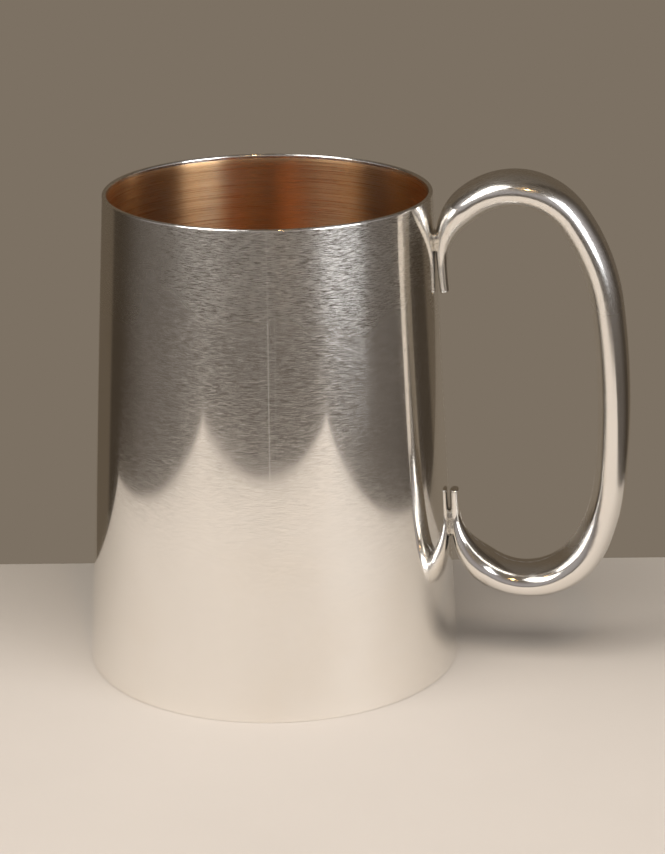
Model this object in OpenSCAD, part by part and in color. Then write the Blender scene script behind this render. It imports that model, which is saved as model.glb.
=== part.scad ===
// Straight-sided pint tankard: a tapered sheet-metal cup with a set-in base,
// a gilt inside and a hollow C-shaped handle soldered to the wall at two places.
// The cup's axis is Z, it stands on Z = 0, and the handle lies in the XZ plane on the +X side.

/* [Cup] */
// Height of the cup, from the table to the lip
cup_height = 115; // [95:1:140]
// Outside diameter at the lip
top_d = 76.8; // [66:0.2:90]
// Outside diameter at the foot
base_d = 90.2; // [80:0.2:104]
// Thickness of the wall sheet
wall_t = 1.1; // [0.8:0.1:1.6]
// Thickness of the base sheet
base_t = 1.2; // [0.8:0.1:2]
// How far the underside of the base stands above the table
base_recess = 3; // [2:0.5:6]
// Leg of the solder fillet under the base
base_fillet = 1.2; // [0.8:0.1:1.8]
// Width of the soldered seam that closes the rolled wall
seam_w = 0.3; // [0.2:0.1:0.6]

/* [Gilding] */
// Thickness given to the gilt layer
gilt_t = 0.2; // [0.05:0.05:0.3]
// Bare band left between the lip and the gilding
gilt_drop = 1; // [0.8:0.1:4]

/* [Handle] */
// Height at which the upper end of the handle runs along the wall
upper_joint_z = 99; // [96:1:102]
// Least solder thickness between the wall and the handle
joint_gap = 0.2; // [0.1:0.05:0.4]
// Depth of the handle at its two free ends, measured in the handle's plane
tip_depth = 2.1; // [1.9:0.1:2.6]
// Depth of the handle at the grip
grip_depth = 7.8; // [7:0.1:8.4]
// Extra depth in the top bend
top_swell = 0.5; // [0:0.1:1]
// Extra depth in the bottom bend
bottom_swell = 0.9; // [0:0.1:1.2]
// Width of the oval section over its depth
oval_ratio = 1.85; // [1.4:0.05:2]
// Thickness of the sheet that the handle's halves are pressed from
handle_wall = 0.6; // [0.4:0.05:0.7]
// Thickness of the plates that close the handle's ends
end_cap_t = 0.5; // [0.4:0.1:0.8]

/* [Handle bends] */
// Radius of the flick at the upper free end
upper_tip_r = 90; // [70:5:200]
// Angle of the flick at the upper free end
upper_tip_a = 4.7; // [3:0.1:5.5]
// Radius of the top bend
top_bend_r = 16.7; // [16:0.1:17.5]
// Angle of the top bend
top_bend_a = 147; // [145:0.5:149]
// Radius of the upper shoulder
upper_shoulder_r = 46; // [42:1:50]
// Angle of the upper shoulder
upper_shoulder_a = 27.5; // [26:0.5:29]
// Radius of the nearly straight grip
grip_r = 200; // [180:5:230]
// Angle of the nearly straight grip
grip_a = 12; // [11:0.5:13]
// Radius of the lower shoulder
lower_shoulder_r = 48; // [43:1:53]
// Angle of the lower shoulder
lower_shoulder_a = 21.5; // [20:0.5:23]
// Radius of the lower free end
lower_tip_r = 300; // [200:10:400]
// Angle of the lower free end
lower_tip_a = 1.15; // [1:0.05:1.4]

/* [Hidden] */
$fn = 128;

silver = "#c9c5bd";
solder = "#b4b1aa";
gilt = "#b9803f";

// ---- Cup profile: radii at a height ----
function outer_r(z) = base_d / 2 + (top_d - base_d) / 2 * z / cup_height;
function inner_r(z) = outer_r(z) - wall_t;

lip_z = cup_height - wall_t / 2;
base_top_z = base_recess + base_t;
gilt_top_z = cup_height - gilt_drop;
wall_lean = atan((base_d - top_d) / 2 / cup_height);

// ---- Handle depth along the path ----
// Stretches, counted from each free end, over which the depth grows from tip to grip. A small
// share of the growth starts right at the free end, so that the ends widen steadily too.
upper_taper = [6.5, 23];
lower_taper = [6, 22];
tip_share = 0.1;
// Middles of the two swells along the path, and how far a swell reaches on each side
top_swell_at = 36.5;
bottom_swell_at = 139;
swell_reach = 16;

// ---- Handle path: a chain of clockwise arcs, travelled from the upper free end to the lower one ----
// An arc moves by R * turn(h0, h1) as the heading falls from h0 to h1.
function turn(h0, h1) = [sin(h0) - sin(h1), cos(h1) - cos(h0)];

joint_heading = 90 + wall_lean;
bottom_bend_a = 360 - top_bend_a - upper_shoulder_a - grip_a - lower_shoulder_a;

// The bottom bend's radius is the one that brings the path back to the wall: the
// distances that the five bends travel away from the wall add up to nothing.
shoulder_h = top_bend_a + upper_shoulder_a;
grip_h = shoulder_h + grip_a;
bottom_h = grip_h + lower_shoulder_a;
bottom_bend_r = (top_bend_r * (1 - cos(top_bend_a))
  + upper_shoulder_r * (cos(top_bend_a) - cos(shoulder_h))
  + grip_r * (cos(shoulder_h) - cos(grip_h))
  + lower_shoulder_r * (cos(grip_h) - cos(bottom_h))) / (1 - cos(bottom_h));

path_arcs = [
  [upper_tip_r, upper_tip_a], [top_bend_r, top_bend_a], [upper_shoulder_r, upper_shoulder_a],
  [grip_r, grip_a], [lower_shoulder_r, lower_shoulder_a], [bottom_bend_r, bottom_bend_a],
  [lower_tip_r, lower_tip_a]
];
function arc_length(i) = path_arcs[i][0] * path_arcs[i][1] * PI / 180;
function length_to(i) = i == 0 ? 0 : length_to(i - 1) + arc_length(i - 1);
path_length = length_to(len(path_arcs));

upper_joint = [outer_r(upper_joint_z) + joint_gap + depth_at(arc_length(0)) / 2, upper_joint_z];
path_heading = joint_heading + upper_tip_a;
path_start = upper_joint - upper_tip_r * turn(path_heading, joint_heading);

// Position and heading at distance s along the path, as [x, z, heading]
function path_at(s, i = 0, p = path_start, h = path_heading) =
  let (r = path_arcs[i][0], part = min(s, arc_length(i)), end_h = h - part / r * 180 / PI,
       q = p + r * turn(h, end_h))
  (i == len(path_arcs) - 1 || s <= arc_length(i))
    ? [q[0], q[1], end_h]
    : path_at(s - arc_length(i), i + 1, q, end_h);

// ---- Handle section: an oval whose depth changes along the path ----
function clamp01(v) = min(1, max(0, v));
function smooth(v) = let (c = clamp01(v)) c * c * (3 - 2 * c);
function ramp(s, span) = tip_share * sin(90 * clamp01(s / span[1]))
  + (1 - tip_share) * smooth((s - span[0]) / (span[1] - span[0]));
function bump(s, middle) = smooth(1 - abs(s - middle) / swell_reach);
function depth_at(s) = tip_depth
  + (grip_depth - tip_depth) * ramp(s, upper_taper) * ramp(path_length - s, lower_taper)
  + top_swell * bump(s, top_swell_at)
  + bottom_swell * bump(s, bottom_swell_at);

// Point of the oval at distance s and angle a, shrunk by inset. Angle 0 faces the outside of the loop.
function oval_point(s, a, inset = 0) =
  let (p = path_at(s), depth = depth_at(s) / 2 - inset, width = depth_at(s) * oval_ratio / 2 - inset,
       out = depth * cos(a))
  [p[0] - out * sin(p[2]), width * sin(a), p[1] + out * cos(p[2])];

// ---- Lofted solids ----
// Steps along the handle, and steps around half of its section
handle_rings = 84;
half_sides = 10;
section_step = 180 / half_sides;
// Distance of ring i along the path
function station(i) = end_cap_t + (path_length - 2 * end_cap_t) * i / handle_rings;

// Closed solid through rings that all have the same number of points. Every face is a
// triangle, and each end is closed by a strip between the ring's first half and its second.
module loft(rings) {
  n = len(rings[0]);
  last = len(rings) - 1;
  function corner(i, k) = i * n + k % n;
  sides = [for (i = [0 : last - 1], k = [0 : n - 1]) each [
    [corner(i, k), corner(i, k + 1), corner(i + 1, k + 1)],
    [corner(i, k), corner(i + 1, k + 1), corner(i + 1, k)]]];
  ends = [for (k = [0 : n / 2 - 2]) each [
    [n - 1 - k, n - 2 - k, k + 1],
    [n - 1 - k, k + 1, k],
    [corner(last, k), corner(last, k + 1), corner(last, n - 2 - k)],
    [corner(last, k), corner(last, n - 2 - k), corner(last, n - 1 - k)]]];
  polyhedron(points = [for (ring = rings) each ring], faces = concat(sides, ends), convexity = 8);
}

// Half of the hollow oval: out along the outside, back along the inside
function half_ring(s) = concat(
  [for (k = [0 : half_sides]) oval_point(s, k * section_step)],
  [for (k = [half_sides : -1 : 0]) oval_point(s, k * section_step, handle_wall)]);

module handle_half() {
  loft([for (i = [0 : handle_rings]) half_ring(station(i))]);
}

// Plate that closes one end of the handle, with its outer edge taken off by cap_round
cap_round = 0.2;
function cap_ring(s, inset) =
  [for (k = [0 : 2 * half_sides - 1]) oval_point(s, k * section_step, inset)];

module end_cap(free_s, joined_s) {
  edge_s = free_s + (joined_s > free_s ? cap_round : -cap_round);
  rings = [cap_ring(free_s, cap_round), cap_ring(edge_s, 0), cap_ring(joined_s, 0)];
  loft(joined_s > free_s ? rings : [rings[2], rings[1], rings[0]]);
}

// Solder that fills the narrow gap between the wall and the handle. It reaches over the
// handle's rings from the first to the last, and spreads a little wider on the wall.
upper_solder_rings = [4, 6];
lower_solder_rings = [handle_rings - 5, handle_rings - 2];
solder_sides = 2;
solder_spread = 1.25;
function wall_point(p) =
  let (y = p[1] * solder_spread) [sqrt(pow(outer_r(p[2]), 2) - y * y), y, p[2]];
function solder_ring(s) =
  let (side = [for (k = [-solder_sides : solder_sides]) oval_point(s, k * section_step)])
  concat([for (p = side) wall_point(p)],
         [for (k = [len(side) - 1 : -1 : 0]) side[k]]);

module joint_solder(span) {
  loft([for (i = [span[0] : span[1]]) solder_ring(station(i))]);
}

// ---- Cup solids ----
module wall_ring() {
  rotate_extrude() {
    polygon([[outer_r(0), 0], [outer_r(lip_z), lip_z], [inner_r(lip_z), lip_z], [inner_r(0), 0]]);
    translate([outer_r(lip_z) - wall_t / 2, lip_z])
      circle(d = wall_t);
  }
}

// Upright slab in which the wall's two edges meet, behind the handle
module seam_slab() {
  translate([inner_r(cup_height) - wall_t, -seam_w / 2, -1])
    cube([base_d / 2 - inner_r(cup_height) + 2 * wall_t, seam_w, cup_height + 2]);
}

module body_wall() {
  color(silver)
    difference() {
      wall_ring();
      seam_slab();
    }
}

module side_seam() {
  color(solder)
    intersection() {
      wall_ring();
      seam_slab();
    }
}

module base_disc() {
  color(silver)
    rotate_extrude()
      polygon([[0, base_recess], [inner_r(base_recess), base_recess],
               [inner_r(base_top_z), base_top_z], [0, base_top_z]]);
}

module base_solder() {
  low_z = base_recess - base_fillet;
  color(solder)
    rotate_extrude()
      difference() {
        polygon([[inner_r(base_recess), base_recess],
                 [inner_r(base_recess) - base_fillet, base_recess],
                 [inner_r(low_z), low_z]]);
        translate([inner_r(base_recess) - base_fillet, low_z])
          circle(r = base_fillet);
      }
}

module gilt_lining() {
  floor_z = base_top_z + gilt_t;
  color(gilt)
    rotate_extrude()
      polygon([[0, base_top_z], [inner_r(base_top_z), base_top_z],
               [inner_r(gilt_top_z), gilt_top_z], [inner_r(gilt_top_z) - gilt_t, gilt_top_z],
               [inner_r(floor_z) - gilt_t, floor_z], [0, floor_z]]);
}

// ---- Handle solids ----
module handle_left_half() {
  color(silver)
    mirror([0, 1, 0])
      handle_half();
}

module handle_right_half() {
  color(silver)
    handle_half();
}

module handle_upper_cap() {
  color(silver)
    end_cap(0, end_cap_t);
}

module handle_lower_cap() {
  color(silver)
    end_cap(path_length, path_length - end_cap_t);
}

module upper_joint_solder() {
  color(solder)
    joint_solder(upper_solder_rings);
}

module lower_joint_solder() {
  color(solder)
    joint_solder(lower_solder_rings);
}

body_wall();
side_seam();
base_disc();
base_solder();
gilt_lining();
handle_left_half();
handle_right_half();
handle_upper_cap();
handle_lower_cap();
upper_joint_solder();
lower_joint_solder();
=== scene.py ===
"""Looks for a polished tankard with a gilt inside, on a pale board in front of a taupe backdrop."""

import math

import bpy
import numpy as np
from mathutils import Matrix, Vector


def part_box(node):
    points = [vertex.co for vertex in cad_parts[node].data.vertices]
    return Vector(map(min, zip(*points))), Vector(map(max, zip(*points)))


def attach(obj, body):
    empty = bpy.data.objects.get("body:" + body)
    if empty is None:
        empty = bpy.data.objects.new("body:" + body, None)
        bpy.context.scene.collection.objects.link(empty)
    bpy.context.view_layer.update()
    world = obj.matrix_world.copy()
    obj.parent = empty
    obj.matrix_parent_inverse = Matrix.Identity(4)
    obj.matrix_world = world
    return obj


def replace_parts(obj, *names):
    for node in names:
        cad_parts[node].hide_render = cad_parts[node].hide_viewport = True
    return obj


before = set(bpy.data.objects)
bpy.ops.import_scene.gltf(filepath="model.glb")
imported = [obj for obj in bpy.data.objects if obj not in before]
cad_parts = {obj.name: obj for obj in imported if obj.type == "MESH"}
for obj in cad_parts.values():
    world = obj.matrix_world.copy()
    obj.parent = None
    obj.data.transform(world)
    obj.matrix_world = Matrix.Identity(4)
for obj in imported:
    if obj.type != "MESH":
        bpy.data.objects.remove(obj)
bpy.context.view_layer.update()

MM = 0.001

# ---- Sizes, in millimetres ----
wall_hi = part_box("body_wall")[1]
disc_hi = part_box("base_disc")[1]
gilt_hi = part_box("gilt_lining")[1]
CUP_H = wall_hi[2] / MM
BASE_R = wall_hi[1] / MM
TOP_R = 38.4
WALL_T = 1.1
BASE_TOP = disc_hi[2] / MM
GILT_T = 0.2
GILT_TOP = gilt_hi[2] / MM

# Handle: arcs of radius and angle, from the upper free end to the lower one. The radius left out
# is worked out below, so that the path comes back to the wall.
ARCS = [(90, 4.7), (16.7, 147), (46, 27.5), (200, 12), (48, 21.5), (None, 152), (300, 1.15)]
UPPER_JOINT_Z = 99
JOINT_GAP = 0.2
TIP_DEPTH = 2.1
GRIP_DEPTH = 7.8
UPPER_TAPER = (6.5, 23)
LOWER_TAPER = (6, 22)
TIP_SHARE = 0.1
SWELLS = ((36.5, 0.5), (139, 0.9))
SWELL_REACH = 16
OVAL_RATIO = 1.85
HANDLE_WALL = 0.6
CAP_T = 0.5
CAP_ROUND = 0.2

# The camera stands a little to the side of the handle's plane
VIEW_TURN = math.radians(9)


def turned(x, y, z=0.0):
    """A point seen from the camera's side (x right, y away), in millimetres, as metres in the row frame."""
    c, s = math.cos(VIEW_TURN), math.sin(VIEW_TURN)
    return Vector((x * c - y * s, x * s + y * c, z)) * MM


# ---- Mesh helpers ----
def outer_r(z):
    return BASE_R + (TOP_R - BASE_R) * z / CUP_H


def inner_r(z):
    return outer_r(z) - WALL_T


def grid_normals(points, wrap_u, wrap_v):
    """Unit normals of a grid of points [i, j], from central differences."""
    def diff(axis, wrap):
        if wrap:
            return np.roll(points, -1, axis) - np.roll(points, 1, axis)
        return np.gradient(points, axis=axis)

    n = np.cross(diff(0, wrap_u), diff(1, wrap_v))
    length = np.linalg.norm(n, axis=2, keepdims=True)
    return n / np.maximum(length, 1e-12)


class Build:
    """Collects faces with their own corner normals and UVs, then makes one object."""

    def __init__(self):
        self.verts = []
        self.faces = []
        self.normals = []
        self.uvs = []

    def grid(self, points, normals, uv, wrap_u=False, wrap_v=False):
        """Grids [i, j] in millimetres. uv has one more row or column where the grid wraps."""
        ni, nj = points.shape[:2]
        flip = (grid_normals(points, wrap_u, wrap_v) * normals).sum() < 0
        base = len(self.verts)
        self.verts.extend(points.reshape(-1, 3).tolist())
        for i in range(ni if wrap_u else ni - 1):
            for j in range(nj if wrap_v else nj - 1):
                i1, j1 = i + 1, j + 1
                corners = [(i, j), (i1, j), (i1, j1), (i, j1)]
                if flip:
                    corners = corners[::-1]
                self.faces.append([base + (a % ni) * nj + b % nj for a, b in corners])
                self.normals.extend(normals[a % ni, b % nj] for a, b in corners)
                self.uvs.extend(uv[a, b] for a, b in corners)

    def make(self, name, materials, body="root"):
        mesh = bpy.data.meshes.new(name)
        mesh.from_pydata([(x * MM, y * MM, z * MM) for x, y, z in self.verts], [], self.faces)
        layer = mesh.uv_layers.new(name="UVMap")
        layer.data.foreach_set("uv", np.array(self.uvs, np.float32).ravel())
        mesh.polygons.foreach_set("use_smooth", [True] * len(mesh.polygons))
        for m in materials:
            mesh.materials.append(m)
        mesh.update()
        mesh.normals_split_custom_set(np.array(self.normals, np.float32))
        obj = bpy.data.objects.new(name, mesh)
        bpy.context.scene.collection.objects.link(obj)
        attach(obj, body)
        return obj


def flat_normal(points, direction):
    """A grid of one direction, the shape of points."""
    return np.broadcast_to(np.array(direction, float), points.shape)


# ---- Materials ----
def new_material(name):
    mat = bpy.data.materials.new(name)
    mat.use_nodes = True
    nodes, links = mat.node_tree.nodes, mat.node_tree.links
    return mat, nodes, links, nodes["Principled BSDF"]


class Nodes:
    """Short calls for the shader nodes used below."""

    def __init__(self, tree):
        self.nodes, self.links = tree.nodes, tree.links

    def put(self, socket, value):
        if isinstance(value, bpy.types.NodeSocket):
            self.links.new(value, socket)
        else:
            socket.default_value = value

    def math(self, op, a, b=0.0, c=0.0, clamp=False):
        n = self.nodes.new("ShaderNodeMath")
        n.operation, n.use_clamp = op, clamp
        for socket, value in zip(n.inputs, (a, b, c)):
            self.put(socket, value)
        return n.outputs[0]

    def vector(self, op, a, b=(0, 0, 0)):
        n = self.nodes.new("ShaderNodeVectorMath")
        n.operation = op
        self.put(n.inputs[0], a)
        self.put(n.inputs[1], b)
        return n.outputs["Value" if op in ("LENGTH", "DISTANCE", "DOT_PRODUCT") else "Vector"]

    def ramp(self, value, lo, hi, out_lo=0.0, out_hi=1.0, smooth=True):
        n = self.nodes.new("ShaderNodeMapRange")
        n.interpolation_type = "SMOOTHSTEP" if smooth else "LINEAR"
        for socket, v in zip(n.inputs, (value, lo, hi, out_lo, out_hi)):
            self.put(socket, v)
        return n.outputs[0]

    def noise(self, vector, scale, detail=2.0, rough=0.5, dims="3D"):
        n = self.nodes.new("ShaderNodeTexNoise")
        n.noise_dimensions = dims
        self.put(n.inputs["Vector"], vector)
        n.inputs["Scale"].default_value = scale
        n.inputs["Detail"].default_value = detail
        n.inputs["Roughness"].default_value = rough
        return n.outputs["Fac"]

    def mapping(self, vector, scale=(1, 1, 1), turn=0.0, shift=(0, 0, 0)):
        n = self.nodes.new("ShaderNodeMapping")
        self.put(n.inputs["Vector"], vector)
        n.inputs["Location"].default_value = shift
        n.inputs["Rotation"].default_value = (0, 0, turn)
        n.inputs["Scale"].default_value = scale
        return n.outputs[0]

    def mix(self, fac, a, b):
        n = self.nodes.new("ShaderNodeMix")
        n.data_type = "RGBA"
        self.put(n.inputs["Factor"], fac)
        self.put(n.inputs[6], a)
        self.put(n.inputs[7], b)
        return n.outputs[2]

    def coord(self, kind):
        return self.nodes.new("ShaderNodeTexCoord").outputs[kind]

    def bump(self, height, distance, strength=1.0, normal=None):
        n = self.nodes.new("ShaderNodeBump")
        n.inputs["Strength"].default_value = strength
        n.inputs["Distance"].default_value = distance
        self.put(n.inputs["Height"], height)
        if normal is not None:
            self.put(n.inputs["Normal"], normal)
        return n.outputs[0]


def scratches(k, uv, turn, length, width, cut, shift):
    """Mask of fine straight scratches. Length and width are in millimetres, and a higher cut leaves fewer."""
    # the turn after the scaling keeps the noise's own grid from lining up with the scratches
    v = k.mapping(k.mapping(uv, turn=turn, shift=shift), scale=(1 / length, 1 / width, 1), turn=0.6)
    return k.ramp(k.noise(v, 1.0, 0.0, 0.5, "2D"), cut, cut + 0.05)


def silver_material(name, haze=0.34, polish=(0.04, 0.07), frost=None, aniso=0.9):
    """Polished silver. UVs are in millimetres: u along the rubbing marks, v across them."""
    mat, nodes, links, bsdf = new_material(name)
    k = Nodes(mat.node_tree)
    uv = k.coord("UV")
    place = k.coord("Object")
    # fine rubbing marks around the piece, thicker where the polish is duller
    rub = k.math(
        "MAXIMUM",
        scratches(k, uv, 0.0, 2.2, 0.03, 0.575, (0, 0, 0)),
        scratches(k, uv, 0.04, 5.0, 0.03, 0.64, (31, 17, 0)),
    )
    height = nodes.new("ShaderNodeSeparateXYZ")
    links.new(place, height.inputs[0])
    dull = k.math(
        "MULTIPLY",
        k.ramp(k.noise(place, 30.0, 3.0, 0.5), 0.3, 0.75, 0.8, 1.0),
        k.ramp(height.outputs[2], 0.05, 0.11, 0.5, 1.0),
    )
    rub = k.math("MULTIPLY", rub, dull)
    # single scratches of everyday use, in clusters and in several directions
    marks = None
    directions = ((0.5, 4, 0.14), (1.2, 3, 0.12), (2.2, 5, 0.14), (2.8, 7, 0.12))
    for i, (turn, length, width) in enumerate(directions):
        m = scratches(k, uv, turn, length, width, 0.88, (i * 41.7, i * 23.3, 0))
        marks = m if marks is None else k.math("MAXIMUM", marks, m)
    marks = k.math("MULTIPLY", marks, k.ramp(k.noise(place, 33.0, 2.0, 0.5), 0.45, 0.65))
    base = k.ramp(k.noise(place, 70.0, 4.0, 0.6), 0.3, 0.75, polish[0], polish[1])
    rough = k.math("MAXIMUM", base, k.math("MULTIPLY", rub, haze))
    rough = k.math("MAXIMUM", rough, k.math("MULTIPLY", marks, 0.22))
    normal = k.bump(marks, 0.0000001)
    tarnish = k.ramp(k.noise(place, 22.0, 4.0, 0.65), 0.42, 0.8, 0.0, 0.4)
    colour = k.mix(tarnish, (0.975, 0.96, 0.93, 1), (0.90, 0.85, 0.77, 1))
    if frost:
        # a patch of close little pits where the metal was rubbed down
        centre, reach = frost
        near = k.ramp(k.vector("DISTANCE", place, centre), reach, reach * 0.2)
        pits = k.noise(place, 1700.0, 3.0, 0.7)
        rough = k.math("MAXIMUM", rough, k.math("MULTIPLY", near, 0.34))
        normal = k.bump(k.math("MULTIPLY", k.ramp(pits, 0.4, 0.6), near), 0.000015, 1.0, normal)
    links.new(rough, bsdf.inputs["Roughness"])
    links.new(colour, bsdf.inputs["Base Color"])
    links.new(normal, bsdf.inputs["Normal"])
    bsdf.inputs["Metallic"].default_value = 1.0
    bsdf.inputs["Anisotropic"].default_value = aniso
    bsdf.inputs["Anisotropic Rotation"].default_value = 0.25
    tangent = nodes.new("ShaderNodeTangent")
    tangent.direction_type = "UV_MAP"
    tangent.uv_map = "UVMap"
    links.new(tangent.outputs[0], bsdf.inputs["Tangent"])
    return mat


def gilt_material():
    mat, nodes, links, bsdf = new_material("gilt_satin")
    k = Nodes(mat.node_tree)
    uv = k.coord("UV")
    place = k.coord("Object")
    lines = k.noise(k.mapping(uv, scale=(0.03, 9.0, 1)), 1.0, 3.0, 0.65, "2D")
    worn = k.ramp(k.noise(place, 60.0, 4.0, 0.6), 0.4, 0.75)
    colour = k.mix(worn, (0.86, 0.55, 0.29, 1), (0.82, 0.59, 0.38, 1))
    colour = k.mix(k.ramp(lines, 0.35, 0.7, 0.0, 0.15), colour, (0.66, 0.41, 0.23, 1))
    rough = k.ramp(lines, 0.3, 0.7, 0.24, 0.33)
    links.new(colour, bsdf.inputs["Base Color"])
    links.new(rough, bsdf.inputs["Roughness"])
    links.new(k.bump(lines, 0.000004), bsdf.inputs["Normal"])
    bsdf.inputs["Metallic"].default_value = 1.0
    bsdf.inputs["Anisotropic"].default_value = 0.92
    bsdf.inputs["Anisotropic Rotation"].default_value = 0.25
    tangent = nodes.new("ShaderNodeTangent")
    tangent.direction_type = "UV_MAP"
    tangent.uv_map = "UVMap"
    links.new(tangent.outputs[0], bsdf.inputs["Tangent"])
    return mat


def solder_material():
    mat, _, links, bsdf = new_material("solder_dull")
    k = Nodes(mat.node_tree)
    place = k.coord("Object")
    grain = k.noise(place, 1400.0, 3.0, 0.6)
    colour = k.mix(k.ramp(grain, 0.35, 0.7), (0.86, 0.84, 0.80, 1), (0.66, 0.62, 0.55, 1))
    links.new(colour, bsdf.inputs["Base Color"])
    links.new(k.ramp(grain, 0.3, 0.7, 0.16, 0.34), bsdf.inputs["Roughness"])
    links.new(k.bump(grain, 0.00003), bsdf.inputs["Normal"])
    bsdf.inputs["Metallic"].default_value = 1.0
    return mat


def board_material():
    mat, nodes, links, bsdf = new_material("pale_board")
    k = Nodes(mat.node_tree)
    place = k.coord("Object")
    cloud = k.noise(place, 9.0, 4.0, 0.6)
    fibre = k.noise(place, 900.0, 3.0, 0.6)
    colour = k.mix(k.ramp(cloud, 0.35, 0.7), (0.53, 0.482, 0.435, 1), (0.515, 0.468, 0.422, 1))
    # painted shade: the board is darker and greyer towards the edge that meets the backdrop
    split = nodes.new("ShaderNodeSeparateXYZ")
    links.new(place, split.inputs[0])
    colour = k.mix(k.ramp(split.outputs[1], -0.07, 0.065), colour, (0.39, 0.353, 0.312, 1))
    links.new(colour, bsdf.inputs["Base Color"])
    links.new(k.bump(fibre, 0.00003), bsdf.inputs["Normal"])
    bsdf.inputs["Roughness"].default_value = 0.75
    bsdf.inputs["Specular IOR Level"].default_value = 0.2
    return mat


def backdrop_material(colour):
    """A surface that glows evenly, so that no light or shadow shows on it."""
    mat = bpy.data.materials.new("taupe_backdrop")
    mat.use_nodes = True
    nodes, links = mat.node_tree.nodes, mat.node_tree.links
    nodes.clear()
    glow = nodes.new("ShaderNodeEmission")
    glow.inputs["Color"].default_value = colour + (1,)
    out = nodes.new("ShaderNodeOutputMaterial")
    links.new(glow.outputs[0], out.inputs["Surface"])
    return mat


# ---- Cup ----
SEGMENTS = 480


def lathe_grid(profile, ripple=None):
    """Grid [around, along] of a profile of (radius, height) turned about Z. It starts behind the handle."""
    phi = np.linspace(0, 2 * np.pi, SEGMENTS, endpoint=False)[:, None]
    r = np.array([p[0] for p in profile])[None, :]
    z = np.array([p[1] for p in profile])[None, :] + 0 * phi
    r = r + (ripple(phi, z) if ripple else 0 * phi)
    return np.stack([r * np.cos(phi), r * np.sin(phi), z], axis=2)


def lathe_uv(profile, radius):
    """UVs in millimetres: around the cup, and along the profile."""
    along = [0.0]
    for a, b in zip(profile, profile[1:]):
        along.append(along[-1] + math.dist(a, b))
    around = np.linspace(0, 2 * math.pi * radius, SEGMENTS + 1)[:, None] + 0 * np.array(along)[None, :]
    return np.stack([around, np.array(along)[None, :] + 0 * around], axis=2)


def hand_waves(phi, z):
    """The shallow unevenness of a hand-finished wall, in millimetres."""
    edge = np.clip(z / 12, 0, 1) * np.clip((CUP_H - z) / 10, 0, 1)
    w = (
        0.011 * np.sin(3 * phi + 0.7 + z / 38)
        + 0.007 * np.sin(5 * phi - 1.1 - z / 27)
        + 0.0028 * np.sin(9 * phi + 2.1 + z / 15)
        + 0.004 * np.sin(z / 11 + 2 * phi)
        + 0.0012 * np.sin(17 * phi - 0.4 + z / 8)
    )
    return w * (0.35 + 0.65 * edge)


def add_lathe(build, profile, radius, ripple=None, inward=False):
    """A turned skin. The profile runs so that its left side is the metal, or its right side if inward."""
    points = lathe_grid(profile, ripple)
    normals = grid_normals(points, True, False) * (-1 if inward else 1)
    build.grid(points, normals, lathe_uv(profile, radius), wrap_u=True)


silver_body = silver_material("silver_body")
silver_handle = silver_material(
    "silver_handle", haze=0.32, polish=(0.14, 0.19), frost=((0.0765, 0.0, 0.0315), 0.013), aniso=0.3
)
silver_base = silver_material("silver_base", haze=0.35, aniso=0.0)
gilt = gilt_material()
solder = solder_material()

FOOT_ROUND = 0.18
lip_z = CUP_H - WALL_T / 2
outside = [(outer_r(z), z) for z in np.linspace(FOOT_ROUND, lip_z, 90)]
foot = [
    (outer_r(0) - FOOT_ROUND + FOOT_ROUND * math.sin(a), FOOT_ROUND - FOOT_ROUND * math.cos(a))
    for a in np.linspace(0, math.pi / 2, 6)
]
lip = [
    (outer_r(lip_z) - WALL_T / 2 + WALL_T / 2 * math.cos(a), lip_z + WALL_T / 2 * math.sin(a))
    for a in np.linspace(0, math.pi, 25)
]
inside = [(inner_r(z), z) for z in np.linspace(lip_z, FOOT_ROUND, 60)]
foot_in = [
    (inner_r(0) + FOOT_ROUND - FOOT_ROUND * math.sin(a), FOOT_ROUND - FOOT_ROUND * math.cos(a))
    for a in np.linspace(math.pi / 2, 0, 6)
]
wall = Build()
closed = foot + outside[1:] + lip[1:] + inside[1:] + foot_in[1:]
closed.append(foot[0])
add_lathe(wall, closed, outer_r(CUP_H / 2), hand_waves)
wall_piece = wall.make("body_wall_polished", [silver_body])
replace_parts(wall_piece, "body_wall")

# Gilding: a thin skin with its upper edge feathered out
skin = Build()
floor_z = BASE_TOP + GILT_T
corner_r = 1.4
floor_r = inner_r(floor_z) - GILT_T
gilt_inside = (
    [(max(r, 0.001), floor_z) for r in np.linspace(0, floor_r - corner_r, 40)]
    + [
        (floor_r - corner_r + corner_r * math.sin(a), floor_z + corner_r - corner_r * math.cos(a))
        for a in np.linspace(0.12, math.pi / 2 - 0.06, 10)
    ]
    + [(inner_r(z) - GILT_T, z) for z in np.linspace(floor_z + corner_r, GILT_TOP - 0.8, 90)]
    + [(inner_r(GILT_TOP) - 0.03, GILT_TOP)]
)
gilt_outside = [(inner_r(GILT_TOP), GILT_TOP), (inner_r(BASE_TOP), BASE_TOP), (0.001, BASE_TOP)]
add_lathe(skin, gilt_inside, inner_r(CUP_H / 2), hand_waves, inward=True)
add_lathe(skin, [gilt_inside[-1]] + gilt_outside, inner_r(CUP_H / 2), hand_waves, inward=True)
gilt_piece = skin.make("gilt_skin", [gilt])
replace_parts(gilt_piece, "gilt_lining")

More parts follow.
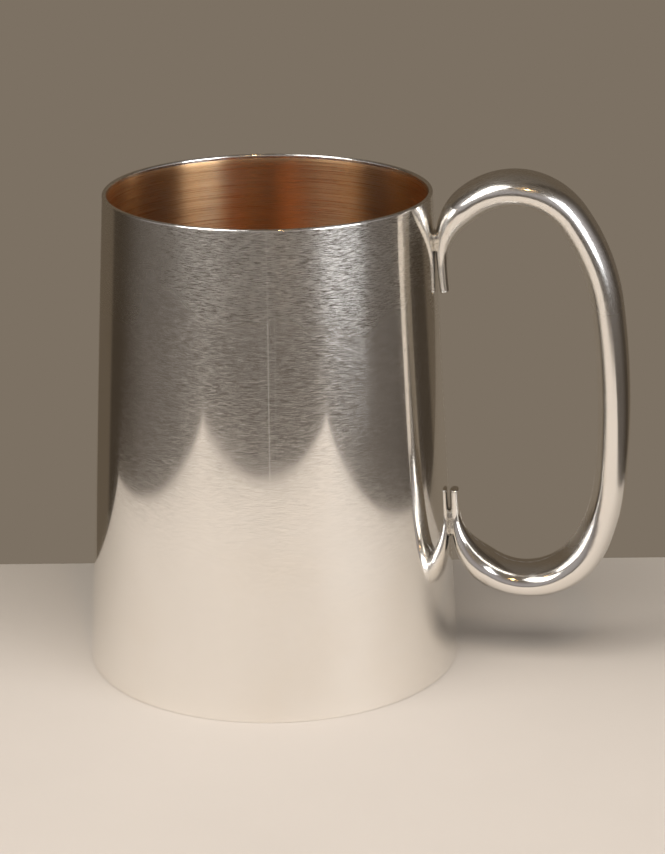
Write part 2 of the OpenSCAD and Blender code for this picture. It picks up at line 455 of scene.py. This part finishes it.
# Seam of the rolled wall, filed flush behind the handle
SEAM_HALF = 0.15
SEAM_DEPTH = 0.5
SEAM_RISE = 0.012
SEAM_CROWN = 0.01
SEAM_LEAN = 0.058
SEAM_STEPS = 40
seam = Build()
seam_z = np.linspace(0.3, lip_z - 0.4, SEAM_STEPS)
seam_y = np.array([-SEAM_HALF, 0.0, SEAM_HALF])
grid = np.zeros((3, SEAM_STEPS, 3))
for i, y in enumerate(seam_y):
    r = outer_r(seam_z) + hand_waves(np.array(0.0), seam_z) + SEAM_RISE - SEAM_CROWN * abs(y) / SEAM_HALF
    grid[i, :, 0], grid[i, :, 1], grid[i, :, 2] = np.sqrt(r * r - y * y), y, seam_z
back = grid.copy()
back[:, :, 0] -= SEAM_DEPTH
uv = np.stack([grid[:, :, 1], grid[:, :, 2]], axis=2)
seam.grid(grid, flat_normal(grid, (1, 0, SEAM_LEAN)), uv)
seam.grid(back, flat_normal(back, (-1, 0, 0)), uv)
for row, sign in ((0, -1), (2, 1)):
    side = np.stack([grid[row], back[row]], axis=0)
    seam.grid(side, flat_normal(side, (0, sign, 0)), uv[:2])
for col, sign in ((0, -1), (-1, 1)):
    side = np.stack([grid[:, col], back[:, col]], axis=1)
    seam.grid(side, flat_normal(side, (0, 0, sign)), uv[:, :2])
seam_piece = seam.make("side_seam_line", [solder])
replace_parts(seam_piece, "side_seam")

# ---- Handle ----
WALL_LEAN = math.degrees(math.atan((BASE_R - TOP_R) / CUP_H))


def turn(h0, h1):
    h0, h1 = math.radians(h0), math.radians(h1)
    return np.array([math.sin(h0) - math.sin(h1), math.cos(h1) - math.cos(h0)])


def solve_bottom_bend():
    """Radius of the bottom bend that brings the path back to the wall."""
    total, h = 0.0, 0.0
    for r, a in ARCS[1:5]:
        total += r * (math.cos(math.radians(h)) - math.cos(math.radians(h + a)))
        h += a
    return total / (1 - math.cos(math.radians(h)))


ARCS = [(r or solve_bottom_bend(), a) for r, a in ARCS]
LENGTHS = [r * math.radians(a) for r, a in ARCS]
PATH_LENGTH = sum(LENGTHS)
start_heading = 90 + WALL_LEAN + ARCS[0][1]


def smooth(v):
    v = min(1.0, max(0.0, v))
    return v * v * (3 - 2 * v)


def grow(s, span):
    early = math.sin(math.pi / 2 * min(1.0, max(0.0, s / span[1])))
    return TIP_SHARE * early + (1 - TIP_SHARE) * smooth((s - span[0]) / (span[1] - span[0]))


def depth_at(s):
    d = TIP_DEPTH + (GRIP_DEPTH - TIP_DEPTH) * grow(s, UPPER_TAPER) * grow(PATH_LENGTH - s, LOWER_TAPER)
    return d + sum(size * smooth(1 - abs(s - at) / SWELL_REACH) for at, size in SWELLS)


start_point = np.array(
    [outer_r(UPPER_JOINT_Z) + JOINT_GAP + depth_at(LENGTHS[0]) / 2, UPPER_JOINT_Z]
) - ARCS[0][0] * turn(start_heading, 90 + WALL_LEAN)


def path_at(s):
    p, h = start_point, start_heading
    for i, (r, _) in enumerate(ARCS):
        part = s if i == len(ARCS) - 1 else min(s, LENGTHS[i])
        end_h = h - math.degrees(part / r)
        q = p + r * turn(h, end_h)
        if i == len(ARCS) - 1 or s <= LENGTHS[i]:
            return q[0], q[1], math.radians(end_h)
        s, p, h = s - LENGTHS[i], q, end_h


def oval_point(s, a, inset=0.0):
    """Point of the handle's oval section. Angle 0 faces the outside of the loop."""
    x, z, h = path_at(s)
    d = depth_at(s) / 2 - inset
    w = depth_at(s) * OVAL_RATIO / 2 - inset
    out = d * math.cos(a)
    return np.array([x - out * math.sin(h), w * math.sin(a), z + out * math.cos(h)])


HANDLE_STEPS = 421
HALF_SIDES = 27
GROOVE = 0.012
# UV length of one step around the handle, for a girth of about 36 mm
GIRTH_STEP = 18 / HALF_SIDES


def outward(points, centres, normals):
    """The same normals, pointing away from the centres."""
    sign = np.sign(((points - centres) * normals).sum(axis=2, keepdims=True))
    return normals * np.where(sign == 0, 1, sign)


def handle_half(name, side):
    """One pressed half: outside skin, inside skin and the flat edges where the halves meet."""
    s_list = np.linspace(CAP_T, PATH_LENGTH - CAP_T, HANDLE_STEPS)
    a_step = math.pi / HALF_SIDES
    full = [(k - 1) * a_step for k in range(HALF_SIDES + 3)]
    wide = np.array([[oval_point(s, a) for a in full] for s in s_list])
    centres = np.array([[(x, 0, z)] for x, z, _ in map(path_at, s_list)])
    normals = outward(wide, centres, grid_normals(wide, False, False))[:, 1:-1]
    outer = wide[:, 1:-1].copy()
    # the joint line, filed almost flush
    outer[:, [0, -1]] -= normals[:, [0, -1]] * GROOVE
    inner = np.array(
        [[oval_point(s, a, HANDLE_WALL) for a in full[1:-1:3]] for s in s_list[::6]]
    )
    uv = np.stack(
        np.meshgrid(s_list, np.arange(HALF_SIDES + 1) * GIRTH_STEP, indexing="ij"), axis=2
    )
    uv_in = uv[::6, ::3]
    mirror = np.array([1, side, 1])
    b = Build()
    b.grid(outer * mirror, normals * mirror, uv)
    n_in = -outward(inner, centres[::6], grid_normals(inner, False, False))
    b.grid(inner * mirror, n_in * mirror, uv_in)
    for edge in (0, -1):
        strip = np.stack([outer[::6, edge], inner[:, edge]], axis=1) * mirror
        b.grid(strip, flat_normal(strip, (0, -side, 0)), uv_in[:, :2])
    for end in (0, -1):
        strip = np.stack([outer[end, ::3], inner[end]], axis=1) * mirror
        h = path_at(s_list[end])[2]
        along = np.array([math.cos(h), 0, math.sin(h)]) * (-1 if end == 0 else 1)
        b.grid(strip, flat_normal(strip, along), uv_in[: len(strip), :2])
    piece = b.make(name, [silver_handle])
    return piece


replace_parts(handle_half("handle_half_right", 1), "handle_right_half")
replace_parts(handle_half("handle_half_left", -1), "handle_left_half")


def end_cap(name, free_s, joined_s):
    """Plate that closes an end of the handle, with a rounded edge."""
    way = 1 if joined_s > free_s else -1
    half = TIP_DEPTH / 2
    angles = np.linspace(0, 2 * math.pi, 64, endpoint=False)
    rings = [(free_s, half * f) for f in (0.999, 0.7, 0.45)]
    rings += [
        (free_s + way * CAP_ROUND * (1 - math.cos(a)), CAP_ROUND * (1 - math.sin(a)))
        for a in np.linspace(0, math.pi / 2, 6)
    ]
    rings += [(joined_s, 0.0), (joined_s, half * 0.6), (joined_s, half * 0.999)]
    points = np.array([[oval_point(s, a, inset) for a in angles] for s, inset in rings])
    for i, (s, inset) in enumerate(rings):
        if inset > half * 0.4:
            x, z, _ = path_at(s)
            centre = np.array([x, 0, z])
            ratio = 1 - inset / half
            edge = np.array([oval_point(s, a, CAP_ROUND if s == free_s else 0.0) for a in angles])
            points[i] = centre + (edge - centre) * ratio
    normals = grid_normals(points, False, True)
    mid = points.mean(axis=(0, 1))
    if ((points - mid) * normals).sum() < 0:
        normals = -normals
    uv = np.zeros((points.shape[0], points.shape[1] + 1, 2))
    uv[:, :, 0] = np.arange(points.shape[0])[:, None] * 0.3
    uv[:, :, 1] = np.linspace(0, 8, points.shape[1] + 1)[None, :]
    b = Build()
    b.grid(points, normals, uv, wrap_v=True)
    piece = b.make(name, [silver_handle])
    return piece


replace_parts(end_cap("handle_end_upper", 0.0, CAP_T), "handle_upper_cap")
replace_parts(end_cap("handle_end_lower", PATH_LENGTH, PATH_LENGTH - CAP_T), "handle_lower_cap")


FILLET_SPREAD = 1.3
FILLET_REACH = math.radians(40)
FILLET_BITE = 0.04
FILLET_RISE = 0.21
FILLET_HOLLOW = 0.1


def joint_fillet(name, s_from, s_to):
    """Solder drawn into the gap between wall and handle, hollow on its free side."""
    loop = np.linspace(0, 2 * math.pi, 72, endpoint=False)
    mid, reach = (s_from + s_to) / 2, (s_to - s_from) / 2

    def rounded(v):
        return np.sign(v) * abs(v) ** 0.7

    on_handle = np.array(
        [
            oval_point(mid + reach * rounded(math.sin(v)), FILLET_REACH * rounded(math.cos(v)), FILLET_BITE)
            for v in loop
        ]
    )
    on_wall = []
    for _, y, z in on_handle:
        y = y * FILLET_SPREAD
        z = z + math.copysign(FILLET_RISE, z - on_handle[:, 2].mean())
        r = outer_r(z) - 0.03
        on_wall.append([math.sqrt(r * r - y * y), y, z])
    on_wall = np.array(on_wall)
    steps = np.linspace(0, 1, 12)
    centre = (on_handle.mean(axis=0) + on_wall.mean(axis=0)) / 2
    rows = []
    for u in steps:
        row = on_wall + (on_handle - on_wall) * u
        pull = FILLET_HOLLOW * 4 * u * (1 - u)
        inward = centre - row
        inward[:, 0] = 0
        rows.append(row + inward * pull)
    wall_centre = np.array([on_wall.mean(axis=0)] * len(loop))
    handle_centre = np.array([on_handle.mean(axis=0)] * len(loop))
    rows.insert(0, wall_centre + (on_wall - wall_centre) * 0.02)
    rows.append(handle_centre + (on_handle - handle_centre) * 0.02)
    points = np.array(rows)
    normals = grid_normals(points, False, True)
    if ((points - points.mean(axis=(0, 1))) * normals)[1:-1].sum() < 0:
        normals = -normals
    uv = np.zeros((points.shape[0], points.shape[1] + 1, 2))
    b = Build()
    b.grid(points, normals, uv, wrap_v=True)
    piece = b.make(name, [solder])
    return piece


# The solder's first and last place on the handle, counted in rings of the handle in the part
HANDLE_RINGS = 84
UPPER_SOLDER = (4, 6.2)
LOWER_SOLDER = (79, 82)
step = (PATH_LENGTH - 2 * CAP_T) / HANDLE_RINGS
upper_span = [CAP_T + ring * step for ring in UPPER_SOLDER]
lower_span = [CAP_T + ring * step for ring in LOWER_SOLDER]
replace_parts(joint_fillet("solder_upper", *upper_span), "upper_joint_solder")
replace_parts(joint_fillet("solder_lower", *lower_span), "lower_joint_solder")

# ---- Carried-over nodes ----
for node, mat in (("base_disc", silver_base), ("base_solder", solder)):
    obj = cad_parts[node]
    obj.data.materials.clear()
    obj.data.materials.append(mat)

# ---- Stage ----
def stage_mesh(name, corners, low, high, mat, bevel=0.0):
    n = len(corners)
    verts = [turned(x, y, high) for x, y in corners] + [turned(x, y, low) for x, y in corners]
    faces = [list(range(n)), list(range(2 * n - 1, n - 1, -1))]
    faces += [[i, n + i, n + (i + 1) % n, (i + 1) % n] for i in range(n)]
    mesh = bpy.data.meshes.new(name)
    mesh.from_pydata(verts, [], faces)
    mesh.materials.append(mat)
    obj = bpy.data.objects.new(name, mesh)
    bpy.context.scene.collection.objects.link(obj)
    if bevel:
        mod = obj.modifiers.new("edge", "BEVEL")
        mod.width = bevel * MM
        mod.segments = 4
    return obj


TAUPE = (0.202, 0.165, 0.125)
stage_mesh("board", [(-247, -272), (207, -308), (183, 52), (-196, 60)], -14, 0, board_material(), 1.0)
stage_mesh(
    "backdrop",
    [(-82, 40), (150, 40), (200, 52), (300, 640), (-185, 640)],
    -18,
    -15,
    backdrop_material(TAUPE),
)

# ---- World: plain taupe to the camera, and a dim room with a paler wall to the reflections ----
world = bpy.data.worlds.new("room")
bpy.context.scene.world = world
world.use_nodes = True
world.node_tree.nodes.clear()
k = Nodes(world.node_tree)
way = k.nodes.new("ShaderNodeVectorRotate")
way.rotation_type = "Z_AXIS"
way.inputs["Angle"].default_value = -VIEW_TURN
k.links.new(k.coord("Generated"), way.inputs["Vector"])
split = k.nodes.new("ShaderNodeSeparateXYZ")
k.links.new(way.outputs[0], split.inputs[0])
wx, wy, wz = split.outputs
azimuth = k.math("MULTIPLY", k.math("ARCTAN2", wx, k.math("MULTIPLY", wy, -1.0)), 180 / math.pi)
elevation = k.math("MULTIPLY", k.math("ARCSINE", wz), 180 / math.pi)

LOW = (0.100, 0.084, 0.070, 1)
WALL = (0.30, 0.275, 0.27, 1)
HIGH = (0.115, 0.095, 0.075, 1)
SIDE = (0.048, 0.036, 0.025, 1)
front = k.mix(k.ramp(elevation, -5.0, 12.0), LOW, WALL)
front = k.mix(k.ramp(elevation, 25.0, 55.0), front, HIGH)
away = k.math("ABSOLUTE", azimuth)
front = k.mix(k.ramp(away, 82.0, 122.0), front, SIDE)
behind = k.mix(k.ramp(elevation, 25.0, 60.0), (0.110, 0.084, 0.058, 1), HIGH)
room = k.mix(k.ramp(away, 128.0, 134.0), front, behind)
# thin upright things in the room, in line with the camera
for at, width, size in ((-1.5, 0.7, 0.16), (3.0, 0.6, 0.06), (-5.5, 2.0, 0.02)):
    line = k.ramp(k.math("ABSOLUTE", k.math("SUBTRACT", azimuth, at)), 0.0, width, 1.0, 0.0)
    line = k.math("MULTIPLY", line, k.ramp(elevation, 10.0, 0.0))
    add = k.mix(line, (0, 0, 0, 1), (size, size * 0.97, size * 0.93, 1))
    room = k.vector("ADD", room, add)
shine = k.nodes.new("ShaderNodeBackground")
k.links.new(room, shine.inputs["Color"])
plain = k.nodes.new("ShaderNodeBackground")
plain.inputs["Color"].default_value = TAUPE + (1,)
seen = k.nodes.new("ShaderNodeLightPath")
choose = k.nodes.new("ShaderNodeMixShader")
k.links.new(seen.outputs["Is Camera Ray"], choose.inputs[0])
k.links.new(shine.outputs[0], choose.inputs[1])
k.links.new(plain.outputs[0], choose.inputs[2])
out = k.nodes.new("ShaderNodeOutputWorld")
k.links.new(choose.outputs[0], out.inputs["Surface"])


# ---- Lights ----
def window(name, azimuth, elevation, distance, size, power, colour=(1, 1, 1), aim=(0, 0, 60)):
    """A soft panel. azimuth is counted from the camera's side towards its right."""
    a, e = math.radians(azimuth), math.radians(elevation)
    at = turned(
        distance * math.sin(a) * math.cos(e), -distance * math.cos(a) * math.cos(e), distance * math.sin(e)
    )
    data = bpy.data.lights.new(name, "AREA")
    data.shape = "RECTANGLE"
    data.size, data.size_y = size[0] * MM, size[1] * MM
    data.energy = power
    data.color = colour
    obj = bpy.data.objects.new(name, data)
    obj.location = at
    obj.rotation_mode = "QUATERNION"
    obj.rotation_quaternion = (turned(*aim) - at).to_track_quat("-Z", "Y")
    bpy.context.scene.collection.objects.link(obj)
    return obj


window("window_left", -58, 54, 1600, (700, 1100), 12.2, (1.0, 0.97, 0.93))
window("window_right", 51, 28, 1700, (860, 1100), 13, (0.97, 0.98, 1.0))
fill = window("fill", 0, 60, 1100, (900, 600), 9.2, (1.0, 0.97, 0.93), aim=(0, -150, 0))
fill.visible_glossy = False
window("lamp", 12, 58, 1500, (70, 70), 0.9, (1.0, 0.62, 0.25))

# ---- Camera ----
EYE = (0, -571.8, 250.6)
LENS, SENSOR = 106.12, 36
PAN, TILT, ROLL = 0.0256 - VIEW_TURN, 0.3273, -0.0089
forward = Vector(
    (math.sin(PAN) * math.cos(TILT), math.cos(PAN) * math.cos(TILT), -math.sin(TILT))
)
right = Vector((math.cos(PAN), -math.sin(PAN), 0))
up = right.cross(forward)
rolled_right = right * math.cos(ROLL) + up * math.sin(ROLL)
rolled_up = up * math.cos(ROLL) - right * math.sin(ROLL)
camera = bpy.data.objects.new("camera", bpy.data.cameras.new("camera"))
camera.data.lens = LENS
camera.data.sensor_width = SENSOR
camera.data.clip_start, camera.data.clip_end = 0.02, 50
facing = Matrix((rolled_right, rolled_up, -forward)).transposed().to_4x4()
camera.matrix_world = Matrix.Translation(turned(*EYE)) @ facing
bpy.context.scene.collection.objects.link(camera)
bpy.context.scene.camera = camera
bpy.context.scene.view_settings.view_transform = "Standard"
